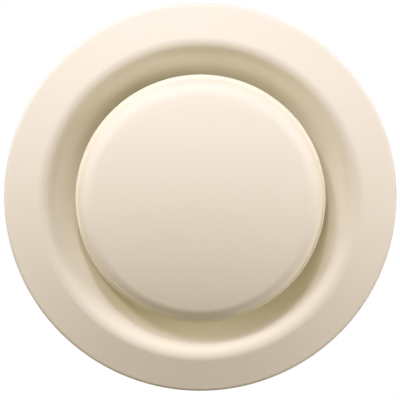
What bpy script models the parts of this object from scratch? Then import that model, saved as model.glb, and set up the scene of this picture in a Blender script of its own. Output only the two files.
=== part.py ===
"""Ventilation disc valve for a round duct, on a wall.

A pressed steel nozzle body fills the mouth of the duct. A domed disc on a screw spindle
closes or opens the ring-shaped air gap. The spindle turns in a threaded bush on a bridge
across the throat, and a lock nut behind the bridge holds the setting. Spring clips hold
the body in a mounting collar, whose flange lies on the wall and whose sleeve sits in the duct.

Metres. The valve's own axis is local Z, towards the room, with z = 0 on the wall.
In the world the valve looks along -Y and +Z is up.
"""

import math

import bmesh
import bpy
from mathutils import Matrix, Vector

# Fits and fineness
GAP = 0.0003
THREAD_CLEARANCE = 0.0001
ARC_TOLERANCE = 0.0001
FRONT_SEGMENTS = 56
REAR_SEGMENTS = 44
SMALL_SEGMENTS = 24
HOLE_SEGMENTS = 12
SHARP_ANGLE = math.radians(35)

# Mounting collar
DUCT_DIAMETER = 0.1250
SLEEVE_CLEARANCE = 0.0007
COLLAR_SHEET = 0.0010
COLLAR_MOUTH_FILLET = 0.0020
GROOVE_CLEARANCE = 0.0020
GROOVE_FLOOR = 0.0034
GROOVE_DEPTH = 0.0016
GROOVE_FROM_END = 0.0125
SCREW_HOLE_DIAMETER = 0.0045
SCREW_HOLES = 4

# Valve body, pressed from one sheet
BODY_SHEET = 0.0010
MOUTH_CLEARANCE = 0.0009
MOUTH_LAP = 0.0001
# A step leads from the mouth of the funnel up to the crest, where the flange begins
STEP_WIDTH = 0.0048
STEP_RISE = 0.0040
STEP_FILLET = 0.0030
CREST_FILLET = 0.0053
FLANGE_WIDTH = 0.0163
FLANGE_DROP = 0.0046
RIM_FILLET = 0.0017
RIM_GAP = 0.0005
FUNNEL_WIDTH = 0.0119
FUNNEL_ANGLE = math.radians(36)
THROAT_FILLET = 0.0040
THROAT_TAIL = 0.0005

# Disc, pressed from one sheet
DISC_SHEET = 0.0008
SEAT_LAP = 0.0032
DISC_OPENING = 0.0060
SEAT_CLEARANCE = 0.0004
HEM_HEIGHT = 0.0019
HEM_FILLET = 0.0010
LIP_WIDTH = 0.0015
LIP_FILLET = 0.0005
DISC_WALL_LEAN = 0.0015
DISC_WALL_HEIGHT = 0.0082
SHOULDER_FILLET = 0.0077
DOME_RADIUS = 0.1680

# Hub behind the disc
CUP_SHEET = 0.0012
CUP_DIAMETER = 0.0400
CUP_BOWL_DIAMETER = 0.0270
CUP_LEAN = 0.0020
CUP_DEPTH = 0.0075
CUP_MOUTH_FILLET = 0.0018
CUP_FLOOR_FILLET = 0.0012

# Spindle, nuts and washers
SPINDLE_DIAMETER = 0.0080
SPINDLE_HEAD_DIAMETER = 0.0150
SPINDLE_HEAD_HEIGHT = 0.0030
SPINDLE_HEAD_FILLET = 0.0010
SPINDLE_TAIL = 0.0025
SPINDLE_CHAMFER = 0.0008
NUT_ACROSS_FLATS = 0.0130
NUT_HEIGHT = 0.0065
NUT_CHAMFER = 0.0007
WASHER_DIAMETER = 0.0160
WASHER_THICKNESS = 0.0016
OPEN_TRAVEL = 0.0100
LOCK_NUT_TRAVEL = 0.00375

# Stop clip in its groove
CLIP_THICKNESS = 0.0010
CLIP_DIAMETER = 0.0140
CLIP_POCKET_DIAMETER = 0.0100
CLIP_GROOVE_DIAMETER = 0.0060
CLIP_MOUTH_ANGLE = 40
CLIP_LUG_ANGLE = 30
CLIP_STEP_ANGLE = 10

# Bridge and bush
CLOSED_CLEARANCE = 0.0057
BRIDGE_SHEET = 0.0015
BRIDGE_EDGE = 0.0010
BRIDGE_TAB = 0.0075
BRIDGE_BEND = 0.0022
BUSH_HEAD_REACH = 0.0020
BUSH_HEAD_HEIGHT = 0.0010
BUSH_BODY_DIAMETER = 0.0120
BUSH_COLLAR_REACH = 0.0010
BUSH_COLLAR_HEIGHT = 0.0027

# Spring clips and rivets
SPRING_CLIPS = 3
SPRING_FIRST_ANGLE = math.radians(90)
SPRING_SHEET = 0.0006
SPRING_WIDTH = 0.0100
SPRING_CLEARANCE = 0.0030
SPRING_TAB = 0.0110
SPRING_LOOP = 0.0036
SPRING_LEG = 0.0130
SPRING_TOE_RUN = 0.0055
SPRING_TOE_LEAN = 0.0038
SPRING_BEND = 0.0015
RIVET_DIAMETER = 0.0032
RIVET_HEAD_DIAMETER = 0.0058
RIVET_HEAD_HEIGHT = 0.0012
RIVET_HEAD_FILLET = 0.0007

# Gasket and duct seal
GASKET_INSET = 0.0006
GASKET_WIDTH = 0.0060
COLLAR_RIM_MARGIN = 0.0050
SEAL_BASE_WIDTH = 0.0016
SEAL_LIP_REACH = 0.0011
SEAL_LIP_THICKNESS = 0.0007
SEAL_LIP_LEAN = 0.0018

# Radii of the collar and the body, from the duct inwards and outwards
sleeve_outer = DUCT_DIAMETER / 2 - SLEEVE_CLEARANCE
sleeve_inner = sleeve_outer - COLLAR_SHEET
foot_radius = sleeve_inner + MOUTH_LAP
crest_radius = foot_radius + STEP_WIDTH
flange_radius = crest_radius + FLANGE_WIDTH
throat_radius = foot_radius - FUNNEL_WIDTH
throat_outer = throat_radius + BODY_SHEET
disc_radius = throat_radius + SEAT_LAP
collar_flange_radius = flange_radius - BODY_SHEET - COLLAR_RIM_MARGIN
flange_slope = math.atan(FLANGE_DROP / FLANGE_WIDTH)
crest_turn = math.atan(STEP_RISE / STEP_WIDTH) + flange_slope
crest_end = crest_radius + CREST_FILLET * math.tan(crest_turn / 2) * math.cos(flange_slope)
gasket_inner = crest_end + GASKET_INSET
gasket_outer = gasket_inner + GASKET_WIDTH
spindle_radius = SPINDLE_DIAMETER / 2
bore_radius = spindle_radius + THREAD_CLEARANCE
bush_radius = BUSH_BODY_DIAMETER / 2
bridge_width = BUSH_BODY_DIAMETER + 2 * BRIDGE_EDGE

# Heights of the body over the wall
foot_height = COLLAR_SHEET + MOUTH_CLEARANCE + BODY_SHEET
crest_height = foot_height + STEP_RISE
rim_height = crest_height - FLANGE_DROP
throat_corner = foot_height - FUNNEL_WIDTH * math.tan(FUNNEL_ANGLE)
seat_height = foot_height - (foot_radius - disc_radius) * math.tan(FUNNEL_ANGLE)

# Heights of the hub, from the disc's rear edge
shoulder_radius = disc_radius - LIP_WIDTH - DISC_WALL_LEAN
shoulder_height = HEM_HEIGHT + DISC_WALL_HEIGHT


def dome_height(radius):
    """Height of the disc's front face over its rear edge, at a radius inside its shoulder."""
    rise = math.sqrt(DOME_RADIUS**2 - radius**2) - math.sqrt(DOME_RADIUS**2 - shoulder_radius**2)
    return shoulder_height + rise


cup_top = dome_height(CUP_DIAMETER / 2) - DISC_SHEET - GAP
cup_floor = cup_top - CUP_DEPTH
hub_washer_top = cup_floor - CUP_SHEET - GAP
hub_nut_top = hub_washer_top - WASHER_THICKNESS - GAP
hub_rear = hub_nut_top - NUT_HEIGHT

# Heights along the spindle, from the seat of the disc back into the duct
disc_height = seat_height + DISC_OPENING
bush_front = seat_height + SEAT_CLEARANCE + hub_rear - CLOSED_CLEARANCE
bridge_front = bush_front - BUSH_HEAD_HEIGHT - GAP
bridge_rear = bridge_front - BRIDGE_SHEET
bush_rear = bridge_rear - GAP - BUSH_COLLAR_HEIGHT
lock_washer_top = bush_rear - GAP
lock_nut_top = lock_washer_top - WASHER_THICKNESS - GAP
stop_clip_top = lock_nut_top - NUT_HEIGHT - LOCK_NUT_TRAVEL - GAP - OPEN_TRAVEL
spindle_end = stop_clip_top - CLIP_THICKNESS - GAP - SPINDLE_TAIL

# Heights of the spring clips, of the throat's end and of the sleeve's groove behind the toes
spring_top = throat_corner - SPRING_CLEARANCE
spring_end = spring_top - SPRING_TAB
throat_rear = min(spring_end, bridge_front - BRIDGE_TAB) - THROAT_TAIL
spring_knee = spring_top - SPRING_LEG
spring_toe = spring_knee - SPRING_TOE_RUN
groove_start = spring_toe - GROOVE_CLEARANCE
groove_floor_start = groove_start - GROOVE_DEPTH
groove_floor_end = groove_floor_start - GROOVE_FLOOR
groove_end = groove_floor_end - GROOVE_DEPTH
sleeve_end = groove_end - GROOVE_FROM_END


def clear_scene():
    """Remove every object, so that the script can run again in an open file."""
    for item in list(bpy.data.objects):
        bpy.data.objects.remove(item, do_unlink=True)


def new_collection(name):
    """A collection of the scene with this name."""
    collection = bpy.data.collections.new(name)
    bpy.context.scene.collection.children.link(collection)
    return collection


def new_material(name, colour, roughness, metallic):
    """A material with the finish of one real surface."""
    material = bpy.data.materials.new(name)
    material.use_nodes = True
    shader = material.node_tree.nodes["Principled BSDF"]
    shader.inputs["Base Color"].default_value = (*colour, 1.0)
    shader.inputs["Roughness"].default_value = roughness
    shader.inputs["Metallic"].default_value = metallic
    material.diffuse_color = (*colour, 1.0)
    return material


def arc_steps(radius, turn):
    """Number of straight steps that keep an arc within the tolerance."""
    step = 2 * math.acos(1 - ARC_TOLERANCE / max(radius, 4 * ARC_TOLERANCE))
    return max(1, math.ceil(turn / step))


def rounded(corners):
    """Points of an outline of (x, z, fillet) corners, with an arc at each filleted corner."""
    points = []
    for index, (x, z, fillet) in enumerate(corners):
        corner = Vector((x, z))
        if fillet == 0.0:
            points.append(corner)
            continue
        before = (Vector(corners[index - 1][:2]) - corner).normalized()
        after = (Vector(corners[index + 1][:2]) - corner).normalized()
        turn = math.pi - before.angle(after)
        side = math.copysign(1.0, -before.cross(after))
        centre = corner + (before + after).normalized() * fillet / math.cos(turn / 2)
        spoke = corner + before * fillet * math.tan(turn / 2) - centre
        steps = arc_steps(fillet, turn)
        for step in range(steps + 1):
            points.append(centre + Matrix.Rotation(side * turn * step / steps, 2) @ spoke)
    return points


def put(item, collection, parent, location=(0.0, 0.0, 0.0), rotation=(0.0, 0.0, 0.0)):
    """Link an object into a collection and place it under its parent."""
    collection.objects.link(item)
    item.parent = parent
    item.location = location
    item.rotation_euler = rotation
    return item


def realise(part):
    """Make the mesh of a part what its modifiers or its curve give, smooth up to sharp edges."""
    bpy.context.view_layer.update()
    depsgraph = bpy.context.evaluated_depsgraph_get()
    mesh = bpy.data.meshes.new_from_object(part.evaluated_get(depsgraph))
    welded = bmesh.new()
    welded.from_mesh(mesh)
    bmesh.ops.remove_doubles(welded, verts=welded.verts, dist=0.000001)
    welded.to_mesh(mesh)
    welded.free()
    solid = bpy.data.objects.new(part.name, mesh)
    for collection in part.users_collection:
        collection.objects.link(solid)
    solid.parent = part.parent
    solid.matrix_local = part.matrix_local
    name = part.name
    bpy.data.objects.remove(part)
    solid.name = name
    mesh.name = name
    mesh.shade_smooth()
    mesh.set_sharp_from_angle(angle=SHARP_ANGLE)
    return solid


def turned(
    name, points, collection, parent, height=0.0, sheet=0.0, closed=True, segments=SMALL_SEGMENTS
):
    """A turned solid. A sheet thickness makes it a shell behind an open outline."""
    edges = [(index, index + 1) for index in range(len(points) - 1)]
    if closed and sheet == 0.0:
        edges.append((len(points) - 1, 0))
    mesh = bpy.data.meshes.new(name)
    mesh.from_pydata([(point[0], 0.0, point[1]) for point in points], edges, [])
    part = put(bpy.data.objects.new(name, mesh), collection, parent, (0.0, 0.0, height))
    screw = part.modifiers.new("turn", "SCREW")
    screw.steps = segments
    screw.render_steps = segments
    screw.use_merge_vertices = True
    screw.merge_threshold = 0.00001
    if sheet > 0.0:
        solidify = part.modifiers.new("sheet", "SOLIDIFY")
        solidify.thickness = sheet
        solidify.use_even_offset = True
    return realise(part)


def strip(name, path, width, sheet, collection, parent, angle=0.0):
    """A bent strip of sheet. Its path lies in the XZ plane and the sheet is on the path's right."""
    ribbon = bmesh.new()
    line = [ribbon.verts.new((point[0], -width / 2, point[1])) for point in path]
    edges = [ribbon.edges.new(pair) for pair in zip(line, line[1:])]
    swept = bmesh.ops.extrude_edge_only(ribbon, edges=edges)["geom"]
    swept = [item for item in swept if isinstance(item, bmesh.types.BMVert)]
    bmesh.ops.translate(ribbon, verts=swept, vec=(0.0, width, 0.0))
    mesh = bpy.data.meshes.new(name)
    ribbon.to_mesh(mesh)
    ribbon.free()
    part = put(bpy.data.objects.new(name, mesh), collection, parent, rotation=(0.0, 0.0, angle))
    solidify = part.modifiers.new("sheet", "SOLIDIFY")
    solidify.thickness = sheet
    solidify.offset = 1.0
    solidify.use_even_offset = True
    return realise(part)


def cylinder_cutter(name, radius, length, location, rotation=(0.0, 0.0, 0.0)):
    """A cylinder that cuts a round hole."""
    round_bar = bmesh.new()
    bmesh.ops.create_cone(
        round_bar, cap_ends=True, segments=HOLE_SEGMENTS, radius1=radius, radius2=radius, depth=length
    )
    mesh = bpy.data.meshes.new(name)
    round_bar.to_mesh(mesh)
    round_bar.free()
    return as_cutter(put(bpy.data.objects.new(name, mesh), cutters, valve_axis, location, rotation))


def as_cutter(item):
    """Show an object as wire only."""
    item.hide_render = True
    item.display_type = "WIRE"
    return item


def combine(part, cutter, operation="DIFFERENCE"):
    """Cut a part by a cutter, or keep only what both share."""
    boolean = part.modifiers.new(cutter.name, "BOOLEAN")
    boolean.object = cutter
    boolean.operation = operation
    boolean.solver = "EXACT"


def funnel_corners():
    """Corners of the body's front face, from the throat's rear edge out to the rim."""
    return [
        (throat_radius, throat_rear, 0.0),
        (throat_radius, throat_corner, THROAT_FILLET),
        (foot_radius, foot_height, STEP_FILLET),
        (crest_radius, crest_height, CREST_FILLET),
        (flange_radius, rim_height, RIM_FILLET),
        (flange_radius, RIM_GAP, 0.0),
    ]


def make_valve_body():
    """The nozzle and its flange: one pressed sheet, with holes for the rivets."""
    profile = rounded(funnel_corners())
    body = turned("valve_body", profile, parts, valve_axis, sheet=BODY_SHEET, segments=FRONT_SEGMENTS)
    body.data.materials.append(cream_steel)
    return body


def make_foam_gasket():
    """The foam ring between the collar's flange and the back of the body's flange."""
    back = crest_height - BODY_SHEET / math.cos(flange_slope) - GAP
    bottom = COLLAR_SHEET + GAP
    corners = [
        (gasket_inner, back - (gasket_inner - crest_radius) * math.tan(flange_slope)),
        (gasket_outer, back - (gasket_outer - crest_radius) * math.tan(flange_slope)),
        (gasket_outer, bottom),
        (gasket_inner, bottom),
    ]
    turned("foam_gasket", corners, parts, valve_axis, segments=REAR_SEGMENTS).data.materials.append(foam)


def make_mounting_collar():
    """The flange on the wall and the sleeve in the duct, with a rolled groove for the seal."""
    corners = [
        (sleeve_inner, sleeve_end, 0.0),
        (sleeve_inner, groove_end, 0.0),
        (sleeve_inner - GROOVE_DEPTH, groove_floor_end, 0.0),
        (sleeve_inner - GROOVE_DEPTH, groove_floor_start, 0.0),
        (sleeve_inner, groove_start, 0.0),
        (sleeve_inner, COLLAR_SHEET, COLLAR_MOUTH_FILLET),
        (collar_flange_radius, COLLAR_SHEET, 0.0),
    ]
    collar = turned(
        "mounting_collar", rounded(corners), parts, valve_axis, sheet=COLLAR_SHEET, segments=REAR_SEGMENTS
    )
    collar.data.materials.append(galvanised)
    hole_circle = (gasket_inner + gasket_outer) / 2
    for index in range(SCREW_HOLES):
        angle = math.tau * (index + 0.5) / SCREW_HOLES
        place = (hole_circle * math.cos(angle), hole_circle * math.sin(angle), COLLAR_SHEET / 2)
        radius = SCREW_HOLE_DIAMETER / 2
        combine(collar, cylinder_cutter(f"screw_hole_{index + 1}", radius, 4 * COLLAR_SHEET, place))


def make_duct_seal():
    """The rubber ring in the sleeve's groove, with a lip that leans back over the sleeve."""
    groove_floor = sleeve_outer - GROOVE_DEPTH + GAP
    middle = (groove_floor_start + groove_floor_end) / 2
    top = middle + SEAL_BASE_WIDTH / 2
    bottom = middle - SEAL_BASE_WIDTH / 2
    lip = DUCT_DIAMETER / 2 + SEAL_LIP_REACH
    corners = [
        (groove_floor, top),
        (sleeve_outer + GAP, top),
        (lip, top + SEAL_LIP_LEAN),
        (lip + SEAL_LIP_THICKNESS / 2, top + SEAL_LIP_LEAN - SEAL_LIP_THICKNESS / 2),
        (sleeve_outer + GAP + SEAL_LIP_THICKNESS, bottom),
        (groove_floor, bottom),
    ]
    turned("duct_seal", corners, parts, valve_axis, segments=REAR_SEGMENTS).data.materials.append(rubber)


def make_bridge(body):
    """The strip across the throat, with its ends bent back and riveted to the throat."""
    half = math.sqrt(throat_radius**2 - (bridge_width / 2) ** 2) - GAP
    tab_end = bridge_front - BRIDGE_TAB
    corners = [
        (-half, tab_end, 0.0),
        (-half, bridge_front, BRIDGE_BEND),
        (half, bridge_front, BRIDGE_BEND),
        (half, tab_end, 0.0),
    ]
    bridge = strip("bridge", rounded(corners), bridge_width, BRIDGE_SHEET, parts, valve_axis)
    bridge.data.materials.append(zinc)
    middle = (0.0, 0.0, bridge_front - BRIDGE_SHEET / 2)
    combine(bridge, cylinder_cutter("bush_hole", bush_radius + GAP, 4 * BRIDGE_SHEET, middle))
    rivet_height = bridge_front - (BRIDGE_BEND + BRIDGE_TAB) / 2
    inside = half - BRIDGE_SHEET - GAP
    outside = throat_outer + GAP
    for index, angle in enumerate((0.0, math.pi)):
        add_rivet(f"bridge_rivet_{index + 1}", angle, rivet_height, inside, outside, (body, bridge))


def make_bridge_bush():
    """The threaded bush, clinched into the bridge between its head and its collar."""
    head = bush_radius + BUSH_HEAD_REACH
    collar = bush_radius + BUSH_COLLAR_REACH
    corners = [
        (bore_radius, bush_front),
        (head, bush_front),
        (head, bush_front - BUSH_HEAD_HEIGHT),
        (bush_radius, bush_front - BUSH_HEAD_HEIGHT),
        (bush_radius, bridge_rear - GAP),
        (collar, bridge_rear - GAP),
        (collar, bush_rear),
        (bore_radius, bush_rear),
    ]
    turned("bridge_bush", corners, parts, valve_axis).data.materials.append(zinc)


def add_rivet(name, angle, height, inner_face, outer_face, sheets):
    """A rivet on a radius of the valve, and its hole through the sheets that it holds."""
    shank = RIVET_DIAMETER / 2
    head = RIVET_HEAD_DIAMETER / 2
    corners = [
        (0.0, outer_face + RIVET_HEAD_HEIGHT, 0.0),
        (head, outer_face + RIVET_HEAD_HEIGHT, RIVET_HEAD_FILLET),
        (head, outer_face, 0.0),
        (shank, outer_face, 0.0),
        (shank, inner_face, 0.0),
        (head, inner_face, 0.0),
        (head, inner_face - RIVET_HEAD_HEIGHT, RIVET_HEAD_FILLET),
        (0.0, inner_face - RIVET_HEAD_HEIGHT, 0.0),
    ]
    rivet = turned(name, rounded(corners), parts, valve_axis, closed=False, segments=HOLE_SEGMENTS)
    rivet.location = (0.0, 0.0, height)
    rivet.rotation_euler = (0.0, math.pi / 2, angle)
    rivet.data.materials.append(zinc)
    middle = (inner_face + outer_face) / 2
    length = outer_face - inner_face + 2 * RIVET_HEAD_HEIGHT
    place = (middle * math.cos(angle), middle * math.sin(angle), height)
    turn = (0.0, math.pi / 2, angle)
    hole = cylinder_cutter(f"{name}_hole", shank + GAP, length, place, turn)
    for sheet in sheets:
        combine(sheet, hole)


def spring_corners(inner_face, knee):
    """Path of a spring clip in radius and height: tab, loop, leg out to the sleeve, toe."""
    return [
        (inner_face, spring_end, 0.0),
        (inner_face, spring_top, SPRING_BEND),
        (inner_face + SPRING_LOOP, spring_top, SPRING_BEND),
        (knee, spring_knee, SPRING_BEND),
        (knee - SPRING_TOE_LEAN, spring_toe, 0.0),
    ]


def make_spring_clips(body):
    """Leaf springs that press on the inside of the sleeve, each with its rivet."""
    inner_face = throat_outer + GAP
    knee = math.sqrt(sleeve_inner**2 - (SPRING_WIDTH / 2) ** 2) - GAP
    path = rounded(spring_corners(inner_face, knee))
    for index in range(SPRING_CLIPS):
        angle = SPRING_FIRST_ANGLE + math.tau * index / SPRING_CLIPS
        clip = strip(f"spring_clip_{index + 1}", path, SPRING_WIDTH, SPRING_SHEET, parts, valve_axis, angle)
        clip.data.materials.append(spring_steel)
        height = spring_end + (SPRING_TAB - SPRING_BEND) / 2
        sagitta = throat_radius - math.sqrt(throat_radius**2 - (RIVET_HEAD_DIAMETER / 2) ** 2)
        inside = throat_radius - sagitta - GAP
        outside = inner_face + SPRING_SHEET + GAP
        add_rivet(f"clip_rivet_{index + 1}", angle, height, inside, outside, (body, clip))


def make_disc():
    """The domed disc, with a round shoulder and a lip that is turned back into a hem."""
    dome_end = shoulder_radius - SHOULDER_FILLET
    steps = arc_steps(DOME_RADIUS, math.asin(dome_end / DOME_RADIUS))
    dome_radii = [dome_end * step / steps for step in range(steps + 1)]
    dome = [(radius, dome_height(radius), 0.0) for radius in dome_radii]
    edge = [
        (shoulder_radius, shoulder_height, SHOULDER_FILLET),
        (disc_radius - LIP_WIDTH, HEM_HEIGHT, LIP_FILLET),
        (disc_radius, HEM_HEIGHT, HEM_FILLET),
        (disc_radius, 0.0, 0.0),
    ]
    profile = rounded(dome + edge)
    disc = turned("disc", profile, parts, disc_carrier, sheet=DISC_SHEET, segments=FRONT_SEGMENTS)
    disc.data.materials.append(cream_steel)


def make_hub_cup():
    """The pressed cup behind the disc, welded by its flange, that holds the spindle."""
    bowl = CUP_BOWL_DIAMETER / 2
    corners = [
        (bore_radius, cup_floor, 0.0),
        (bowl - CUP_LEAN, cup_floor, CUP_FLOOR_FILLET),
        (bowl, cup_top, CUP_MOUTH_FILLET),
        (CUP_DIAMETER / 2, cup_top, 0.0),
    ]
    cup = turned("hub_cup", rounded(corners), parts, disc_carrier, sheet=CUP_SHEET)
    cup.data.materials.append(zinc)


def make_spindle():
    """The threaded rod, with its head inside the cup and a groove for the stop clip."""
    head = SPINDLE_HEAD_DIAMETER / 2
    head_under = cup_floor + GAP
    end = spindle_end - disc_height
    groove_top = stop_clip_top + GAP - disc_height
    groove_end = stop_clip_top - CLIP_THICKNESS - GAP - disc_height
    groove = CLIP_GROOVE_DIAMETER / 2
    corners = [
        (0.0, head_under + SPINDLE_HEAD_HEIGHT, 0.0),
        (head, head_under + SPINDLE_HEAD_HEIGHT, SPINDLE_HEAD_FILLET),
        (head, head_under, 0.0),
        (spindle_radius, head_under, 0.0),
        (spindle_radius, groove_top, 0.0),
        (groove, groove_top, 0.0),
        (groove, groove_end, 0.0),
        (spindle_radius, groove_end, 0.0),
        (spindle_radius, end + SPINDLE_CHAMFER, 0.0),
        (spindle_radius - SPINDLE_CHAMFER, end, 0.0),
        (0.0, end, 0.0),
    ]
    turned("spindle", rounded(corners), parts, disc_carrier, closed=False).data.materials.append(zinc)


def make_washer(name, parent, top):
    """A plain washer for the spindle."""
    rim = WASHER_DIAMETER / 2
    bore = spindle_radius + GAP
    corners = [(bore, top), (rim, top), (rim, top - WASHER_THICKNESS), (bore, top - WASHER_THICKNESS)]
    turned(name, corners, parts, parent).data.materials.append(zinc)


def make_nut(name, parent, top):
    """A hexagon nut for the spindle, with chamfered corners and a countersunk bore."""
    corner_radius = NUT_ACROSS_FLATS / 2 / math.cos(math.pi / 6)
    face_radius = NUT_ACROSS_FLATS / 2
    half = NUT_HEIGHT / 2
    centre = top - half
    hexagon = bmesh.new()
    bmesh.ops.create_cone(
        hexagon, cap_ends=True, segments=6, radius1=corner_radius, radius2=corner_radius, depth=NUT_HEIGHT
    )
    mesh = bpy.data.meshes.new(name)
    hexagon.to_mesh(mesh)
    hexagon.free()
    nut = put(bpy.data.objects.new(name, mesh), parts, parent, (0.0, 0.0, centre))
    nut.data.materials.append(zinc)
    barrel = [
        (0.0, half + GAP, 0.0),
        (face_radius - GAP, half + GAP, 0.0),
        (corner_radius + GAP, half - NUT_CHAMFER, 0.0),
        (corner_radius + GAP, NUT_CHAMFER - half, 0.0),
        (face_radius - GAP, -half - GAP, 0.0),
        (0.0, -half - GAP, 0.0),
    ]
    chamfer = turned(f"{name}_chamfer", rounded(barrel), cutters, parent, centre, closed=False)
    combine(nut, as_cutter(chamfer), "INTERSECT")
    mouth = bore_radius + NUT_CHAMFER
    bore = [
        (0.0, half + NUT_CHAMFER, 0.0),
        (mouth + NUT_CHAMFER, half + NUT_CHAMFER, 0.0),
        (bore_radius, half - NUT_CHAMFER, 0.0),
        (bore_radius, NUT_CHAMFER - half, 0.0),
        (mouth + NUT_CHAMFER, -half - NUT_CHAMFER, 0.0),
        (0.0, -half - NUT_CHAMFER, 0.0),
    ]
    combine(nut, as_cutter(turned(f"{name}_bore", rounded(bore), cutters, parent, centre, closed=False)))


def stop_clip_outline():
    """Outline of the E-shaped clip: a ring open on one side, with lugs into the groove."""
    lug_radius = CLIP_GROOVE_DIAMETER / 2 + GAP
    angles = range(CLIP_MOUTH_ANGLE, 360 - CLIP_MOUTH_ANGLE + 1, CLIP_STEP_ANGLE)
    outer = [(CLIP_DIAMETER / 2, angle) for angle in angles]
    inner = []
    for angle in reversed(angles):
        near_mouth = min(angle, 360 - angle) <= CLIP_MOUTH_ANGLE + CLIP_LUG_ANGLE
        near_back = abs(angle - 180) <= CLIP_LUG_ANGLE / 2
        inner.append((lug_radius if near_mouth or near_back else CLIP_POCKET_DIAMETER / 2, angle))
    return [
        (radius * math.cos(math.radians(angle)), radius * math.sin(math.radians(angle)))
        for radius, angle in outer + inner
    ]


def make_stop_clip():
    """The clip at the spindle's rear end that stops the disc from being screwed right out."""
    outline = stop_clip_outline()
    curve = bpy.data.curves.new("stop_clip", "CURVE")
    curve.dimensions = "2D"
    curve.fill_mode = "BOTH"
    curve.extrude = CLIP_THICKNESS / 2
    spline = curve.splines.new("POLY")
    spline.points.add(len(outline) - 1)
    for point, (x, y) in zip(spline.points, outline):
        point.co = (x, y, 0.0, 1.0)
    spline.use_cyclic_u = True
    place = (0.0, 0.0, stop_clip_top - CLIP_THICKNESS / 2)
    clip = realise(put(bpy.data.objects.new("stop_clip", curve), parts, valve_axis, place))
    clip.data.materials.append(spring_steel)


clear_scene()
parts = new_collection("ventilation_disc_valve")
cutters = new_collection("cutters")

cream_steel = new_material("cream_powder_coated_steel", (0.80, 0.73, 0.60), 0.42, 0.0)
galvanised = new_material("galvanised_sheet_steel", (0.56, 0.58, 0.60), 0.45, 0.9)
zinc = new_material("zinc_plated_steel", (0.68, 0.69, 0.70), 0.30, 1.0)
spring_steel = new_material("blued_spring_steel", (0.22, 0.24, 0.27), 0.35, 1.0)
foam = new_material("closed_cell_foam", (0.10, 0.10, 0.11), 0.90, 0.0)
rubber = new_material("moulded_rubber", (0.03, 0.03, 0.03), 0.65, 0.0)

valve_axis = put(bpy.data.objects.new("valve_axis", None), parts, None, rotation=(math.pi / 2, 0.0, 0.0))
disc_carrier = put(bpy.data.objects.new("disc_carrier", None), parts, valve_axis, (0.0, 0.0, disc_height))

valve_body = make_valve_body()
make_foam_gasket()
make_mounting_collar()
make_duct_seal()
make_bridge(valve_body)
make_bridge_bush()
make_spring_clips(valve_body)
make_disc()
make_hub_cup()
make_spindle()
make_washer("hub_washer", disc_carrier, hub_washer_top)
make_nut("hub_nut", disc_carrier, hub_nut_top)
make_washer("lock_washer", valve_axis, lock_washer_top)
make_nut("lock_nut", valve_axis, lock_nut_top)
make_stop_clip()
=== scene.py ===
import math

import bmesh
import bpy
from mathutils import Matrix, Vector


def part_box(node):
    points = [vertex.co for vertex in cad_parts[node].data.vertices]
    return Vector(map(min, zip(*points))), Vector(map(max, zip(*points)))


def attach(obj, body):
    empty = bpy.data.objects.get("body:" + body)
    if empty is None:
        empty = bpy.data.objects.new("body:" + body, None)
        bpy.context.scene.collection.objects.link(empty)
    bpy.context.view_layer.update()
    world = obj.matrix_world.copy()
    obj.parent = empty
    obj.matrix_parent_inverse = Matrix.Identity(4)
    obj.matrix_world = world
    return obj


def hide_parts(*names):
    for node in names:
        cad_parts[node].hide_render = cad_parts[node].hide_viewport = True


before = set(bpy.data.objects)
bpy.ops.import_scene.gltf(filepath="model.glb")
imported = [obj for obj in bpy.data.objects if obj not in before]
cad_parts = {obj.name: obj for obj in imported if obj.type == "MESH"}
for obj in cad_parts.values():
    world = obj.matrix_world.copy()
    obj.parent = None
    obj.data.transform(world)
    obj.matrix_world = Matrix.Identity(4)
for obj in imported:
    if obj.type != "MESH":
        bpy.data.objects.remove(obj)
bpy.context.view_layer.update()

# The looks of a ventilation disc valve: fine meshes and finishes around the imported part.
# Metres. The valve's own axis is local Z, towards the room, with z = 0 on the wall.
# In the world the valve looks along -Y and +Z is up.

MM = 0.001

# Sizes of the pressed valve body
BODY_SHEET = 1.0 * MM
RIM_GAP = 0.5 * MM
RIM_FILLET = 1.7 * MM
FLANGE_WIDTH = 16.3 * MM
FLANGE_DROP = 4.6 * MM
FOOT_HEIGHT = 2.9 * MM
CREST_FILLET = 5.3 * MM
STEP_WIDTH = 4.8 * MM
STEP_RISE = 4.0 * MM
STEP_FILLET = 3.0 * MM
FUNNEL_WIDTH = 11.9 * MM
FUNNEL_ANGLE = math.radians(36)
THROAT_FILLET = 4.0 * MM

# Sizes of the disc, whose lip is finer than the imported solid's, as the photo shows it
DISC_SHEET = 0.8 * MM
HEM_HEIGHT = 1.9 * MM
HEM_FILLET = 0.84 * MM
LIP_WIDTH = 1.15 * MM
LIP_FILLET = 0.3 * MM
DISC_WALL_LEAN = 1.85 * MM
DISC_WALL_HEIGHT = 8.2 * MM
SHOULDER_FILLET = 7.7 * MM
DOME_RADIUS = 168.0 * MM

# Sizes of the collar and its seal
COLLAR_SHEET = 1.0 * MM
SLEEVE_RADIUS = 61.8 * MM
COLLAR_MOUTH_FILLET = 2.0 * MM
GROOVE_FLOOR = 3.4 * MM
GROOVE_DEPTH = 1.6 * MM
GROOVE_FROM_END = 12.5 * MM
GROOVE_FILLET = 0.8 * MM
SCREW_HOLE_RADIUS = 2.25 * MM
SCREW_HOLES = 4
HOLE_CUTTER_DEPTH = 4 * COLLAR_SHEET
SEAL_BASE_WIDTH = 1.6 * MM
SEAL_LIP_THICKNESS = 0.7 * MM
SEAL_LIP_LEAN = 1.8 * MM
SEAL_EDGE = 0.12 * MM
GASKET_WIDTH = 6.0 * MM
GASKET_EDGE = 0.5 * MM

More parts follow.
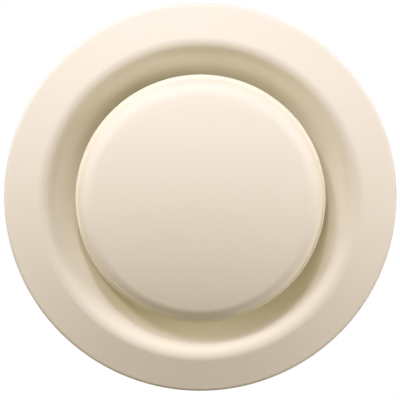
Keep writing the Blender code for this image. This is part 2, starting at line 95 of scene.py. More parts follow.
# Sizes of the hub, the spindle and its nuts
CUP_SHEET = 1.2 * MM
CUP_BOWL_RADIUS = 13.5 * MM
CUP_LEAN = 2.0 * MM
CUP_MOUTH_FILLET = 1.8 * MM
CUP_FLOOR_FILLET = 1.2 * MM
SPOT_WELDS = 6
SPOT_WELD_RADIUS = 1.7 * MM
SPOT_WELD_RIM = 0.15 * MM
SPOT_WELD_FLOOR = 0.7
SPOT_WELD_RING = 0.85
SPINDLE_RADIUS = 4.0 * MM
SPINDLE_HEAD_RADIUS = 7.5 * MM
SPINDLE_HEAD_HEIGHT = 3.0 * MM
SPINDLE_HEAD_FILLET = 1.0 * MM
THREAD_PITCH = 1.25 * MM
THREAD_DEPTH = 0.68 * MM
THREAD_RUN_OUT = 0.9 * MM
GROOVE_RADIUS = 3.0 * MM
NUT_SIDES = 6
NUT_FLAT_RADIUS = 6.5 * MM
NUT_CORNER_RADIUS = 7.4 * MM
NUT_FACE_RADIUS = 6.4 * MM
NUT_CHAMFER_ANGLE = math.radians(30)
NUT_CHAMFER = 0.7 * MM
BORE_RADIUS = 4.1 * MM
WASHER_BORE_RADIUS = 4.3 * MM
WASHER_EDGE = 0.25 * MM

# The thread's form over one pitch: how far along, and how much of the depth it stands out.
# A crest of an eighth of the pitch, and a root of a quarter.
THREAD_FORM = ((0.0, 1.0), (0.125, 1.0), (0.4375, 0.0), (0.6875, 0.0), (1.0, 1.0))

# Sizes of the bridge, the bush, the spring clips and the rivets
BRIDGE_SHEET = 1.5 * MM
BRIDGE_WIDTH = 14.0 * MM
BRIDGE_BEND = 2.2 * MM
BUSH_HEAD_HEIGHT = 1.0 * MM
BUSH_BODY_RADIUS = 6.0 * MM
BUSH_COLLAR_RADIUS = 7.0 * MM
BUSH_COLLAR_HEIGHT = 2.7 * MM
BUSH_EDGE = 0.3 * MM
SPRING_CLIPS = 3
SPRING_SHEET = 0.6 * MM
SPRING_WIDTH = 10.0 * MM
SPRING_TAB = 11.0 * MM
SPRING_LOOP = 3.6 * MM
SPRING_LEG = 13.0 * MM
SPRING_TOE_RUN = 5.5 * MM
SPRING_TOE_LEAN = 3.8 * MM
SPRING_BEND = 1.5 * MM
RIVET_SHANK_RADIUS = 1.6 * MM
RIVET_HEAD_RADIUS = 2.9 * MM
RIVET_HEAD_HEIGHT = 1.2 * MM
RIVET_SET_FILLET = 0.5 * MM
RIVET_DOME_FILLET = 1.1 * MM
CLIP_THICKNESS = 1.0 * MM
CLIP_RADIUS = 7.0 * MM
CLIP_POCKET_RADIUS = 5.0 * MM
CLIP_EDGE = 0.12 * MM

# Angles of the stop clip's outline, in degrees
FULL_TURN = 360
CLIP_MOUTH_ANGLE = 40
CLIP_LUG_ANGLE = 30
CLIP_STEP_ANGLE = 5

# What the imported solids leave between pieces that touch
GAP = 0.3 * MM

# Fineness of the meshes
ARC_TOLERANCE = 0.004 * MM
SMALLEST_ARC = 8 * ARC_TOLERANCE
LARGE_SEGMENTS = 240
SMALL_SEGMENTS = 96
THREAD_SEGMENTS = 48
TINY_SEGMENTS = 24
SHARP_ANGLE = math.radians(32)
BEVEL_FROM_ANGLE = math.radians(60)
BROKEN_EDGE = 0.15 * MM
MERGE_DISTANCE = 0.001 * MM

# How far from its ends a long run of an outline is held, and the shortest run that is
HOLD = 0.25 * MM
HELD_RUN = 4 * HOLD

# The offset that puts a strip's sheet on the right of its path
SHEET_ON_THE_RIGHT = 1.0

# The grain of rolled, dipped and plated metal. The real one, about 0.05 mm, is too fine to show.
FINE_GRAIN = 0.4 * MM

# Cream powder coat: its thinner and thicker places, its gloss, and the ripple of its surface
COAT_COLOURS = ("#F5EBCC", "#F7EDD0")
COAT_ROUGHNESS = (0.58, 0.66)
COAT_IOR = 1.5
FILM_PATCH = 14.0 * MM
ORANGE_PEEL = 1.2 * MM
ORANGE_PEEL_DEPTH = 0.012 * MM

# Hot-dip zinc: dark and pale crystals
DIP_COLOURS = ("#A4A9AC", "#C6CACB")
DIP_ROUGHNESS = (0.36, 0.52)
SPANGLE = 6.0 * MM
DIP_GRAIN_DEPTH = 0.01 * MM

# Zinc plate: bluish to warm where the passivation is thicker
PLATE_COLOURS = ("#BCC2C8", "#D3D4CE")
PLATE_ROUGHNESS = (0.24, 0.38)
PLATE_CLOUD = 5.0 * MM
PLATE_GRAIN_DEPTH = 0.006 * MM

# Blued spring steel, its grain drawn out along the strip
TEMPER_COLOURS = ("#4C525E", "#686D7A")
TEMPER_ROUGHNESS = (0.28, 0.42)
TEMPER_CLOUD = 5.0 * MM
ROLLED_STRETCH = 0.12
ROLLED_GRAIN_DEPTH = 0.008 * MM

# Closed-cell foam: dark grey, with painted shade that darkens the pit bottoms of its cut cells and
# leaves their walls paler
FOAM_AND_PIT_SHADE_COLOURS = ("#26272A", "#3E3F42")
FOAM_ROUGHNESS = (0.84, 0.94)
FOAM_IOR = 1.5
FOAM_CELL = 0.9 * MM
FOAM_CELL_DEPTH = 0.2 * MM

# Rubber. The real skin from the mould is finer, and is drawn coarser so that it shows.
RUBBER_COLOURS = ("#151617", "#222325")
RUBBER_ROUGHNESS = (0.52, 0.66)
RUBBER_IOR = 1.52
RUBBER_SKIN = 0.6 * MM
RUBBER_SKIN_DEPTH = 0.02 * MM

# Sockets of a Mix node that mixes colours
MIX_FACTOR = 0
MIX_FIRST = 6
MIX_SECOND = 7
MIX_RESULT = 2

# The camera, as the photo was taken: a little above the valve's axis, from far off
PICTURE_WIDTH = 167.0 * MM
CAMERA_DISTANCE = 1.6
CAMERA_ABOVE = math.radians(8.5)
CAMERA_LEFT = math.radians(0.4)
CAMERA_TARGET = Vector((-0.2 * MM, -3.0 * MM, -0.5 * MM))
SENSOR_WIDTH = 36.0

WHITE = (1.0, 1.0, 1.0)

# Soft lights: name, elevation, azimuth from the front to the right, size, power in watts, colour.
# Powers and colours are fitted to the shading in the photo.
LIGHT_DISTANCE = 0.9
STUDIO_LIGHTS = (
    ("mid_left", 45, -32, 0.3, 1.69, (0.85, 0.83, 1.00)),
    ("tight_left", 45, -38, 0.1, 1.40, (0.78, 0.78, 1.00)),
    ("tight_front", 55, -10, 0.1, 2.34, (0.79, 0.78, 1.00)),
    ("high_front", 55, 0, 0.3, 1.23, (0.68, 0.71, 1.00)),
    ("high_left", 62, -35, 0.3, 1.24, (0.59, 0.65, 1.00)),
    ("left", 5, -75, 0.7, 3.33, (0.98, 0.92, 1.00)),
    ("right", 5, 75, 0.7, 5.80, (0.92, 0.88, 1.00)),
    ("mid_right", 35, 45, 0.3, 0.63, (0.55, 0.58, 1.00)),
    ("front", 10, 0, 0.7, 1.49, (1.00, 0.85, 0.41)),
    ("rear_left", 30, -150, 0.7, 3.0, WHITE),
    ("rear_right", 30, 150, 0.7, 3.0, WHITE),
)

# Strength of the white that glossy surfaces mirror from all round, which they show as a soft grey
MIRRORED_STRENGTH = 0.4

# The floor, as far below as such a valve sits in a room, with a light of its own
FLOOR_SIZE = 1.8
FLOOR_HEIGHT = -2.3
FLOOR_COLOUR = "#ECEAE6"
FLOOR_ROUGHNESS = 0.8
FLOOR_LIGHT_HEIGHT = -1.2
FLOOR_LIGHT_SIZE = 2.4
FLOOR_LIGHT_POWER = 20.0

ROOM_SIDE = Matrix.Rotation(math.pi / 2, 4, "X")


def linear(hex_colour):
    """Linear colour of an sRGB hex value such as #F0E6D2."""
    channels = [int(hex_colour[start:start + 2], 16) / 255 for start in (1, 3, 5)]
    return [
        value / 12.92 if value <= 0.04045 else ((value + 0.055) / 1.055) ** 2.4
        for value in channels
    ]


def add_node(tree, kind, settings=None, links=None):
    """Add a node, set its properties and sockets, and link its inputs to other nodes' outputs."""
    node = tree.nodes.new(kind)
    for name, value in (settings or {}).items():
        if isinstance(name, int) or name in node.inputs:
            node.inputs[name].default_value = value
        else:
            setattr(node, name, value)
    for name, output in (links or {}).items():
        tree.links.new(output, node.inputs[name])
    return node


def new_material(name, settings):
    """A node material, its tree and its shader, with the values that are even all over it."""
    material = bpy.data.materials.new(name)
    material.use_nodes = True
    shader = material.node_tree.nodes["Principled BSDF"]
    for socket, value in settings.items():
        shader.inputs[socket].default_value = value
    return material, material.node_tree, shader


def dress(tree, shader, tone, colours, gloss, roughness, relief, depth):
    """Vary a shader's colour and roughness and give it a relief, each with a pattern node."""
    first, second = [(*linear(colour), 1.0) for colour in colours]
    least, most = roughness
    colour = add_node(
        tree, "ShaderNodeMix",
        {"data_type": "RGBA", MIX_FIRST: first, MIX_SECOND: second},
        {MIX_FACTOR: tone.outputs[0]},
    )
    rough = add_node(
        tree, "ShaderNodeMapRange", {"To Min": least, "To Max": most}, {"Value": gloss.outputs[0]}
    )
    bump = add_node(
        tree, "ShaderNodeBump", {"Strength": 1.0, "Distance": depth}, {"Height": relief.outputs[0]}
    )
    tree.links.new(colour.outputs[MIX_RESULT], shader.inputs["Base Color"])
    tree.links.new(rough.outputs["Result"], shader.inputs["Roughness"])
    tree.links.new(bump.outputs["Normal"], shader.inputs["Normal"])


def powder_coated_steel():
    """Steel under a baked cream powder coat: a broad satin gloss with a faint orange peel."""
    material, tree, shader = new_material("powder_coated_steel_cream_satin", {"IOR": COAT_IOR})
    place = {"Vector": add_node(tree, "ShaderNodeTexCoord").outputs["Object"]}
    film = add_node(tree, "ShaderNodeTexNoise", {"Scale": 1 / FILM_PATCH, "Detail": 2.0}, place)
    peel = add_node(tree, "ShaderNodeTexNoise", {"Scale": 1 / ORANGE_PEEL, "Detail": 3.0}, place)
    dress(tree, shader, film, COAT_COLOURS, film, COAT_ROUGHNESS, peel, ORANGE_PEEL_DEPTH)
    return material


def hot_dip_galvanised_steel():
    """Steel sheet dipped in zinc: dull grey, with a spangle of crystals that catch light apart."""
    material, tree, shader = new_material("galvanised_steel_hot_dipped", {"Metallic": 1.0})
    place = {"Vector": add_node(tree, "ShaderNodeTexCoord").outputs["Object"]}
    spangle = add_node(tree, "ShaderNodeTexVoronoi", {"Scale": 1 / SPANGLE}, place)
    crystal = add_node(tree, "ShaderNodeRGBToBW", links={"Color": spangle.outputs["Color"]})
    grain = add_node(tree, "ShaderNodeTexNoise", {"Scale": 1 / FINE_GRAIN, "Detail": 3.0}, place)
    dress(tree, shader, crystal, DIP_COLOURS, crystal, DIP_ROUGHNESS, grain, DIP_GRAIN_DEPTH)
    return material


def zinc_plated_steel():
    """Small parts in bright passivated zinc plate: pale metal, a little blue and cloudy."""
    material, tree, shader = new_material("zinc_plated_steel_passivated", {"Metallic": 1.0})
    place = {"Vector": add_node(tree, "ShaderNodeTexCoord").outputs["Object"]}
    cloud = add_node(tree, "ShaderNodeTexNoise", {"Scale": 1 / PLATE_CLOUD, "Detail": 3.0}, place)
    grain = add_node(tree, "ShaderNodeTexNoise", {"Scale": 1 / FINE_GRAIN, "Detail": 2.0}, place)
    dress(tree, shader, cloud, PLATE_COLOURS, cloud, PLATE_ROUGHNESS, grain, PLATE_GRAIN_DEPTH)
    return material


def blued_spring_steel():
    """Hardened steel strip, blued by tempering: dark metal with a rolled grain along the strip."""
    material, tree, shader = new_material("spring_steel_tempered_blue", {"Metallic": 1.0})
    place = {"Vector": add_node(tree, "ShaderNodeTexCoord").outputs["Object"]}
    rolled = add_node(tree, "ShaderNodeMapping", {"Scale": (1.0, ROLLED_STRETCH, 1.0)}, place)
    along = {"Vector": rolled.outputs["Vector"]}
    grain = add_node(tree, "ShaderNodeTexNoise", {"Scale": 1 / FINE_GRAIN, "Detail": 4.0}, along)
    blue = add_node(tree, "ShaderNodeTexNoise", {"Scale": 1 / TEMPER_CLOUD, "Detail": 2.0}, place)
    dress(tree, shader, blue, TEMPER_COLOURS, grain, TEMPER_ROUGHNESS, grain, ROLLED_GRAIN_DEPTH)
    return material


def closed_cell_foam():
    """Extruded closed-cell foam: dark and matt, with cut cells that pit its faces."""
    material, tree, shader = new_material("polyethylene_foam_closed_cell", {"IOR": FOAM_IOR})
    place = {"Vector": add_node(tree, "ShaderNodeTexCoord").outputs["Object"]}
    cells = add_node(tree, "ShaderNodeTexVoronoi", {"Scale": 1 / FOAM_CELL}, place)
    # The cells' distance also paints shade: darker at the bottom of each pit, paler on the walls
    # between.
    dress(tree, shader, cells, FOAM_AND_PIT_SHADE_COLOURS, cells, FOAM_ROUGHNESS, cells, FOAM_CELL_DEPTH)
    return material


def moulded_rubber():
    """Moulded EPDM rubber: nearly black, with a soft sheen and a fine skin from the mould."""
    material, tree, shader = new_material("epdm_rubber_moulded", {"IOR": RUBBER_IOR})
    place = {"Vector": add_node(tree, "ShaderNodeTexCoord").outputs["Object"]}
    skin = add_node(tree, "ShaderNodeTexNoise", {"Scale": 1 / RUBBER_SKIN, "Detail": 3.0}, place)
    dress(tree, shader, skin, RUBBER_COLOURS, skin, RUBBER_ROUGHNESS, skin, RUBBER_SKIN_DEPTH)
    return material


def matt_floor_paint():
    """Matt paint on a smooth floor: pale, even and without gloss."""
    colour = (*linear(FLOOR_COLOUR), 1.0)
    settings = {"Base Color": colour, "Roughness": FLOOR_ROUGHNESS}
    return new_material("painted_floor_pale_matt", settings)[0]


def front(node):
    """Height over the wall of a node's foremost point."""
    return -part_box(node)[0][1]


def rear(node):
    """Height over the wall of a node's rearmost point."""
    return -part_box(node)[1][1]


def reach(node):
    """Outer radius of a node that is round about the valve's axis."""
    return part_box(node)[1][0]


def arc_steps(radius, turn):
    """Number of straight steps that keep an arc within the tolerance."""
    step = 2 * math.acos(1 - ARC_TOLERANCE / max(radius, SMALLEST_ARC))
    return max(2, math.ceil(turn / step))


def rounded(corners):
    """Points of an outline of (x, z, fillet) corners, with an arc at each filleted corner."""
    points = []
    for index, (x, z, fillet) in enumerate(corners):
        corner = Vector((x, z))
        if fillet == 0.0:
            points.append(corner)
            continue
        before = (Vector(corners[index - 1][:2]) - corner).normalized()
        after = (Vector(corners[(index + 1) % len(corners)][:2]) - corner).normalized()
        turn = math.pi - before.angle(after)
        side = math.copysign(1.0, -before.cross(after))
        centre = corner + (before + after).normalized() * fillet / math.cos(turn / 2)
        spoke = corner + before * fillet * math.tan(turn / 2) - centre
        steps = arc_steps(fillet, turn)
        for step in range(steps + 1):
            points.append(centre + Matrix.Rotation(side * turn * step / steps, 2) @ spoke)
    return points


def held(points):
    """The outline with a point near both ends of each long run, which keeps its shading even."""
    result = [points[0]]
    for before, after in zip(points, points[1:]):
        run = after - before
        if run.length > HELD_RUN:
            result.append(before + run.normalized() * HOLD)
            result.append(after - run.normalized() * HOLD)
        result.append(after)
    return result


def modelled(part, placing=None):
    """The mesh that a part's modifiers or curve give, in the valve's own axes."""
    bpy.context.scene.collection.objects.link(part)
    bpy.context.view_layer.update()
    depsgraph = bpy.context.evaluated_depsgraph_get()
    mesh = bpy.data.meshes.new_from_object(part.evaluated_get(depsgraph))
    bpy.data.objects.remove(part)
    if placing:
        mesh.transform(placing)
    return mesh


def soften_edges(part):
    """Break a part's sharp edges, as deburring or a coat of paint does."""
    bevel = part.modifiers.new("edges", "BEVEL")
    bevel.width = BROKEN_EDGE
    bevel.segments = 2
    bevel.limit_method = "ANGLE"
    bevel.angle_limit = BEVEL_FROM_ANGLE


def give_thickness(part, sheet):
    """Make a surface a sheet that lies behind it."""
    solidify = part.modifiers.new("sheet", "SOLIDIFY")
    solidify.thickness = sheet
    solidify.use_even_offset = True
    return solidify


def turned(points, sheet=0.0, closed=True, segments=LARGE_SEGMENTS, placing=None, cutters=()):
    """A turned mesh. A sheet thickness makes it a shell behind an open outline."""
    points = held(points)
    edges = [(index, index + 1) for index in range(len(points) - 1)]
    if closed and sheet == 0.0:
        edges.append((len(points) - 1, 0))
    mesh = bpy.data.meshes.new("outline")
    mesh.from_pydata([(point[0], 0.0, point[1]) for point in points], edges, [])
    part = bpy.data.objects.new("turned", mesh)
    screw = part.modifiers.new("turn", "SCREW")
    screw.steps = segments
    screw.render_steps = segments
    screw.use_merge_vertices = True
    screw.merge_threshold = MERGE_DISTANCE
    if sheet > 0.0:
        give_thickness(part, sheet)
    for cutter in cutters:
        boolean = part.modifiers.new("hole", "BOOLEAN")
        boolean.object = cutter
        boolean.solver = "EXACT"
    if sheet > 0.0:
        soften_edges(part)
    return modelled(part, placing)


def strip(path, width, sheet, angle=0.0):
    """A bent strip of sheet. Its path lies in the XZ plane, with the sheet on its right."""
    path = held(path)
    columns = (-width / 2, HOLD - width / 2, width / 2 - HOLD, width / 2)
    vertices = [(point[0], across, point[1]) for point in path for across in columns]
    faces = []
    for row in range(len(path) - 1):
        for column in range(len(columns) - 1):
            corner = row * len(columns) + column
            faces.append((corner, corner + len(columns), corner + len(columns) + 1, corner + 1))
    mesh = bpy.data.meshes.new("strip")
    mesh.from_pydata(vertices, [], faces)
    part = bpy.data.objects.new("strip", mesh)
    give_thickness(part, sheet).offset = SHEET_ON_THE_RIGHT
    soften_edges(part)
    return modelled(part, Matrix.Rotation(angle, 4, "Z"))


def lofted(rings):
    """A closed mesh through rings of equally many points, the last ring joined to the first."""
    count = len(rings[0])
    vertices = [point for ring in rings for point in ring]
    faces = []
    for row in range(len(rings)):
        this = row * count
        following = (row + 1) % len(rings) * count
        for column in range(count):
            beside = (column + 1) % count
            faces.append((this + column, this + beside, following + beside, following + column))
    mesh = bpy.data.meshes.new("loft")
    mesh.from_pydata(vertices, [], faces)
    return mesh


def circle(radius, height):
    """A ring of points about the valve's axis."""
    angles = [math.tau * index / SMALL_SEGMENTS for index in range(SMALL_SEGMENTS)]
    return [(radius * math.cos(angle), radius * math.sin(angle), height) for angle in angles]


def hexagon(middle, half_height):
    """A ring round a nut's flats, where its chamfer cone cuts them above or below its middle."""
    half_side = math.pi / NUT_SIDES
    points = []
    for index in range(SMALL_SEGMENTS):
        angle = math.tau * index / SMALL_SEGMENTS
        from_flat = (angle + half_side) % (2 * half_side) - half_side
        radius = min(NUT_FLAT_RADIUS / math.cos(from_flat), NUT_CORNER_RADIUS)
        fall = (radius - NUT_FACE_RADIUS) * math.tan(NUT_CHAMFER_ANGLE)
        height = middle + half_height - math.copysign(fall, half_height)
        points.append((radius * math.cos(angle), radius * math.sin(angle), height))
    return points


def nut(node):
    """A hexagon nut with chamfered corners and a countersunk bore."""
    middle = (front(node) + rear(node)) / 2
    half = (front(node) - rear(node)) / 2
    mouth = BORE_RADIUS + NUT_CHAMFER
    return lofted([
        circle(BORE_RADIUS, middle + half - NUT_CHAMFER),
        circle(mouth, middle + half),
        circle(NUT_FACE_RADIUS, middle + half),
        hexagon(middle, half),
        hexagon(middle, -half),
        circle(NUT_FACE_RADIUS, middle - half),
        circle(mouth, middle - half),
        circle(BORE_RADIUS, middle - half + NUT_CHAMFER),
    ])


def thread(top, bottom):
    """A right-hand screw thread: one strip wound up the rod, run out to the root at both ends."""
    root = SPINDLE_RADIUS - THREAD_DEPTH
    rows = THREAD_SEGMENTS * math.ceil((top - bottom) / THREAD_PITCH + 1)
    vertices = []
    for row in range(rows + 1):
        angle = math.tau * row / THREAD_SEGMENTS
        start = bottom + (row / THREAD_SEGMENTS - 1) * THREAD_PITCH
        for along, stands in THREAD_FORM:
            height = start + along * THREAD_PITCH
            run_out = min(max(min(top - height, height - bottom) / THREAD_RUN_OUT, 0.0), 1.0)
            radius = root + THREAD_DEPTH * stands * run_out
            height = min(max(height, bottom), top)
            vertices.append((radius * math.cos(angle), radius * math.sin(angle), height))
    count = len(THREAD_FORM)
    faces = []
    for row in range(rows):
        for column in range(count - 1):
            corner = row * count + column
            faces.append((corner, corner + count, corner + count + 1, corner + 1))
    mesh = bpy.data.meshes.new("thread")
    mesh.from_pydata(vertices, [], faces)
    return mesh


def add_piece(name, node, body, finish, *meshes):
    """Join meshes into the piece that stands for a node, rides on its body and has its finish."""
    joined = bmesh.new()
    for mesh in meshes:
        joined.from_mesh(mesh)
        bpy.data.meshes.remove(mesh)
    bmesh.ops.remove_doubles(joined, verts=joined.verts, dist=MERGE_DISTANCE)
    bmesh.ops.dissolve_degenerate(joined, edges=joined.edges, dist=MERGE_DISTANCE)
    bmesh.ops.recalc_face_normals(joined, faces=joined.faces)
    bmesh.ops.transform(joined, matrix=ROOM_SIDE, verts=joined.verts)
    whole = bpy.data.meshes.new(name)
    joined.to_mesh(whole)
    joined.free()
    whole.shade_smooth()
    whole.set_sharp_from_angle(angle=SHARP_ANGLE)
    whole.materials.append(finishes[finish])
    piece = bpy.data.objects.new(name, whole)
    bpy.context.scene.collection.objects.link(piece)
    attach(piece, body)
    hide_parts(node)


def make_valve_body():
    """The pressed nozzle: throat, flared funnel, step, and the wide flange with its turned rim."""
    corners = [
        (throat_radius, rear("valve_body"), 0.0),
        (throat_radius, FOOT_HEIGHT - FUNNEL_WIDTH * math.tan(FUNNEL_ANGLE), THROAT_FILLET),
        (foot_radius, FOOT_HEIGHT, STEP_FILLET),
        (crest_radius, crest_height, CREST_FILLET),
        (flange_radius, crest_height - FLANGE_DROP, RIM_FILLET),
        (flange_radius, RIM_GAP, 0.0),
    ]
    sheet = turned(rounded(corners), BODY_SHEET)
    add_piece("pressed_nozzle", "valve_body", "frame", "cream_steel", sheet)


def make_disc():
    """The pressed disc: a shallow dome, a round shoulder, and a lip turned back into a hem."""
    base = rear("disc")
    disc_radius = reach("disc")
    shoulder_radius = disc_radius - LIP_WIDTH - DISC_WALL_LEAN
    shoulder_height = base + HEM_HEIGHT + DISC_WALL_HEIGHT
    dome_end = shoulder_radius - SHOULDER_FILLET
    centre_height = shoulder_height - math.sqrt(DOME_RADIUS**2 - shoulder_radius**2)
    steps = arc_steps(DOME_RADIUS, math.asin(dome_end / DOME_RADIUS))
    outline = []
    for step in range(steps + 1):
        radius = dome_end * step / steps
        outline.append((radius, centre_height + math.sqrt(DOME_RADIUS**2 - radius**2), 0.0))
    outline += [
        (shoulder_radius, shoulder_height, SHOULDER_FILLET),
        (disc_radius - LIP_WIDTH, base + HEM_HEIGHT, LIP_FILLET),
        (disc_radius, base + HEM_HEIGHT, HEM_FILLET),
        (disc_radius, base, 0.0),
    ]
    add_piece("domed_disc", "disc", "disc", "cream_steel", turned(rounded(outline), DISC_SHEET))


def make_foam_gasket():
    """The foam ring that seals the body's flange on the collar, its edges pressed round."""
    outer = reach("foam_gasket")
    inner = outer - GASKET_WIDTH
    slope = FLANGE_DROP / FLANGE_WIDTH
    back = crest_height - BODY_SHEET / math.cos(math.atan(slope)) - GAP
    bottom = rear("foam_gasket")
    corners = [
        (inner, back - (inner - crest_radius) * slope, GASKET_EDGE),
        (outer, back - (outer - crest_radius) * slope, GASKET_EDGE),
        (outer, bottom, GASKET_EDGE),
        (inner, bottom, GASKET_EDGE),
    ]
    add_piece("foam_ring", "foam_gasket", "frame", "foam", turned(rounded(corners)))


def screw_hole_cutters(circle_radius):
    """Cylinders for the collar's screw holes."""
    holes = []
    for index in range(SCREW_HOLES):
        angle = math.tau * (index + 0.5) / SCREW_HOLES
        bar = bmesh.new()
        bmesh.ops.create_cone(
            bar, cap_ends=True, segments=SMALL_SEGMENTS // 2,
            radius1=SCREW_HOLE_RADIUS, radius2=SCREW_HOLE_RADIUS, depth=HOLE_CUTTER_DEPTH,
        )
        mesh = bpy.data.meshes.new("screw_hole")
        bar.to_mesh(mesh)
        bar.free()
        mesh.transform(Matrix.Translation(
            (circle_radius * math.cos(angle), circle_radius * math.sin(angle), COLLAR_SHEET / 2)
        ))
        hole = bpy.data.objects.new("screw_hole", mesh)
        bpy.context.scene.collection.objects.link(hole)
        holes.append(hole)
    return holes


def make_mounting_collar():
    """The galvanised collar: a wall flange, and a sleeve with a rolled groove for the seal."""
    inner = SLEEVE_RADIUS - COLLAR_SHEET
    groove = inner - GROOVE_DEPTH
    end = rear("mounting_collar")
    groove_end = end + GROOVE_FROM_END
    floor_end = groove_end + GROOVE_DEPTH
    floor_start = floor_end + GROOVE_FLOOR
    corners = [
        (inner, end, 0.0),
        (inner, groove_end, GROOVE_FILLET),
        (groove, floor_end, GROOVE_FILLET),
        (groove, floor_start, GROOVE_FILLET),
        (inner, floor_start + GROOVE_DEPTH, GROOVE_FILLET),
        (inner, COLLAR_SHEET, COLLAR_MOUTH_FILLET),
        (reach("mounting_collar"), COLLAR_SHEET, 0.0),
    ]
    holes = screw_hole_cutters(reach("foam_gasket") - GASKET_WIDTH / 2)
    collar = turned(rounded(corners), COLLAR_SHEET, cutters=holes)
    for hole in holes:
        bpy.data.objects.remove(hole)
    add_piece("rolled_collar", "mounting_collar", "frame", "galvanised_sheet", collar)


def make_duct_seal():
    """The rubber ring in the sleeve's groove, with a thin lip that leans back over the sleeve."""
    floor = SLEEVE_RADIUS - GROOVE_DEPTH + GAP
    bottom = rear("duct_seal")
    top = bottom + SEAL_BASE_WIDTH
    lip = reach("duct_seal") - SEAL_LIP_THICKNESS / 2
    lip_top = top + SEAL_LIP_LEAN
    corners = [
        (floor, top, SEAL_EDGE),
        (SLEEVE_RADIUS + GAP, top, SEAL_EDGE),
        (lip, lip_top, SEAL_EDGE),
        (reach("duct_seal"), lip_top - SEAL_LIP_THICKNESS / 2, SEAL_EDGE),
        (SLEEVE_RADIUS + GAP + SEAL_LIP_THICKNESS, bottom, SEAL_EDGE),
        (floor, bottom, SEAL_EDGE),
    ]
    add_piece("lip_seal", "duct_seal", "frame", "rubber", turned(rounded(corners)))


def rivet(near, far, height, angle):
    """A rivet on a radius of the valve: a domed head inside, a set head outside."""
    shank = RIVET_SHANK_RADIUS
    head = RIVET_HEAD_RADIUS
    corners = [
        (0.0, far, 0.0),
        (head, far, RIVET_SET_FILLET),
        (head, far - RIVET_HEAD_HEIGHT, 0.0),
        (shank, far - RIVET_HEAD_HEIGHT, 0.0),
        (shank, near + RIVET_HEAD_HEIGHT, 0.0),
        (head, near + RIVET_HEAD_HEIGHT, 0.0),
        (head, near, RIVET_DOME_FILLET),
        (0.0, near, 0.0),
    ]
    placing = Matrix.Translation((0.0, 0.0, height)) @ Matrix.Rotation(angle, 4, "Z")
    placing = placing @ Matrix.Rotation(math.pi / 2, 4, "Y")
    return turned(rounded(corners), closed=False, segments=SMALL_SEGMENTS // 2, placing=placing)


def make_bridge():
    """The zinc-plated strip across the throat, its bent ends riveted to the throat's wall."""
    half = reach("bridge")
    corners = [
        (-half, rear("bridge"), 0.0),
        (-half, front("bridge"), BRIDGE_BEND),
        (half, front("bridge"), BRIDGE_BEND),
        (half, rear("bridge"), 0.0),
    ]
    bar = strip(rounded(corners), BRIDGE_WIDTH, BRIDGE_SHEET)
    add_piece("bent_bridge", "bridge", "frame", "zinc_plate", bar)
    low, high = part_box("bridge_rivet_1")
    height = (front("bridge_rivet_1") + rear("bridge_rivet_1")) / 2
    for index, angle in enumerate((0.0, math.pi), 1):
        solid = rivet(low[0], high[0], height, angle)
        node = f"bridge_rivet_{index}"
        add_piece(f"{node}_set", node, "frame", "zinc_plate", solid)


def make_bridge_bush():
    """The turned bush, clinched into the bridge between its thin head and its collar."""
    top = front("bridge_bush")
    under_head = top - BUSH_HEAD_HEIGHT
    collar_top = rear("bridge_bush") + BUSH_COLLAR_HEIGHT
    corners = [
        (BORE_RADIUS, top, BUSH_EDGE),
        (reach("bridge_bush"), top, BUSH_EDGE),
        (reach("bridge_bush"), under_head, BUSH_EDGE),
        (BUSH_BODY_RADIUS, under_head, 0.0),
        (BUSH_BODY_RADIUS, collar_top, 0.0),
        (BUSH_COLLAR_RADIUS, collar_top, BUSH_EDGE),
        (BUSH_COLLAR_RADIUS, rear("bridge_bush"), BUSH_EDGE),
        (BORE_RADIUS, rear("bridge_bush"), BUSH_EDGE),
    ]
    bush = turned(rounded(corners), segments=SMALL_SEGMENTS)
    add_piece("turned_bush", "bridge_bush", "frame", "zinc_plate", bush)


def make_spring_clips():
    """Leaf springs riveted to the throat that press on the inside of the sleeve."""
    inner_face = throat_radius + BODY_SHEET + GAP
    knee = math.sqrt((SLEEVE_RADIUS - COLLAR_SHEET) ** 2 - (SPRING_WIDTH / 2) ** 2) - GAP
    top = front("spring_clip_1")
    corners = [
        (inner_face, top - SPRING_TAB, 0.0),
        (inner_face, top, SPRING_BEND),
        (inner_face + SPRING_LOOP, top, SPRING_BEND),
        (knee, top - SPRING_LEG, SPRING_BEND),
        (knee - SPRING_TOE_LEAN, top - SPRING_LEG - SPRING_TOE_RUN, 0.0),
    ]
    low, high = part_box("clip_rivet_1")
    height = (front("clip_rivet_1") + rear("clip_rivet_1")) / 2
    for index in range(SPRING_CLIPS):
        number = index + 1
        angle = math.pi / 2 + math.tau * index / SPRING_CLIPS
        leaf = strip(rounded(corners), SPRING_WIDTH, SPRING_SHEET, angle)
        add_piece(f"leaf_spring_{number}", f"spring_clip_{number}", "frame", "spring_steel", leaf)
        solid = rivet(low[2], high[2], height, angle)
        add_piece(f"clip_rivet_{number}_set", f"clip_rivet_{number}", "frame", "zinc_plate", solid)


